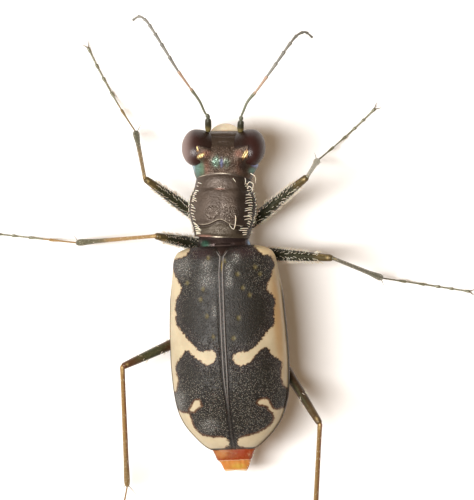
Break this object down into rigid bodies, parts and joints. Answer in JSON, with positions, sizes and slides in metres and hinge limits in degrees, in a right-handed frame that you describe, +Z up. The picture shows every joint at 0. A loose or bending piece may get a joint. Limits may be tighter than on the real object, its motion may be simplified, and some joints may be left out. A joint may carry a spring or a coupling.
{
  "type": "tiger beetle",
  "caption": "Life-size tiger beetle standing with legs and feelers spread, dark wing cases with cream bands and an orange tail tip",
  "frame": {"origin": "on the floor that the feet stand on, below the middle of the model's box", "axes": "-Y towards the head, +Z up, +X towards the animal's left side"},
  "size_m": [0.0206, 0.0265, 0.0051],
  "materials": {
    "bronze_cuticle": "dark bronze chitin, finely wrinkled, with a metallic sheen",
    "green_cuticle": "dark olive-green chitin with a metallic gloss",
    "leg_cuticle": "tan to olive chitin, glossy, set with fine bristles",
    "antenna_cuticle": "grey-green chitin, finely downy",
    "wing_case_cuticle": "dark brown pitted chitin with cream bands along the rim and across",
    "cream_cuticle": "pale ivory chitin, smooth",
    "jaw_cuticle": "amber to dark brown chitin, smooth",
    "eye_facets": "purplish brown compound eye, many fine facets",
    "orange_cuticle": "orange-red chitin, translucent look"
  },
  "bodies": {
    "root": {"head": "bronze_cuticle", "eye_left": "eye_facets", "eye_right": "eye_facets", "labrum": "cream_cuticle", "mandible_left": "jaw_cuticle", "mandible_right": "jaw_cuticle", "palp_left": "green_cuticle", "palp_right": "green_cuticle", "antenna_left": "antenna_cuticle", "antenna_right": "antenna_cuticle", "pronotum": "bronze_cuticle", "scutellum": "bronze_cuticle", "elytron_left": "wing_case_cuticle", "elytron_right": "wing_case_cuticle", "thorax": "green_cuticle", "abdomen": "green_cuticle", "abdomen_tip": "orange_cuticle", "leg_front_left_femur": "green_cuticle", "leg_front_left_tibia": "leg_cuticle", "leg_front_left_tarsus": "leg_cuticle", "leg_front_right_femur": "green_cuticle", "leg_front_right_tibia": "leg_cuticle", "leg_front_right_tarsus": "leg_cuticle", "leg_middle_left_femur": "green_cuticle", "leg_middle_left_tibia": "leg_cuticle", "leg_middle_left_tarsus": "leg_cuticle", "leg_middle_right_femur": "green_cuticle", "leg_middle_right_tibia": "leg_cuticle", "leg_middle_right_tarsus": "leg_cuticle", "leg_hind_left_femur": "green_cuticle", "leg_hind_left_tibia": "leg_cuticle", "leg_hind_left_tarsus": "leg_cuticle", "leg_hind_right_femur": "green_cuticle", "leg_hind_right_tibia": "leg_cuticle", "leg_hind_right_tarsus": "leg_cuticle"}
  },
  "joints": []
}
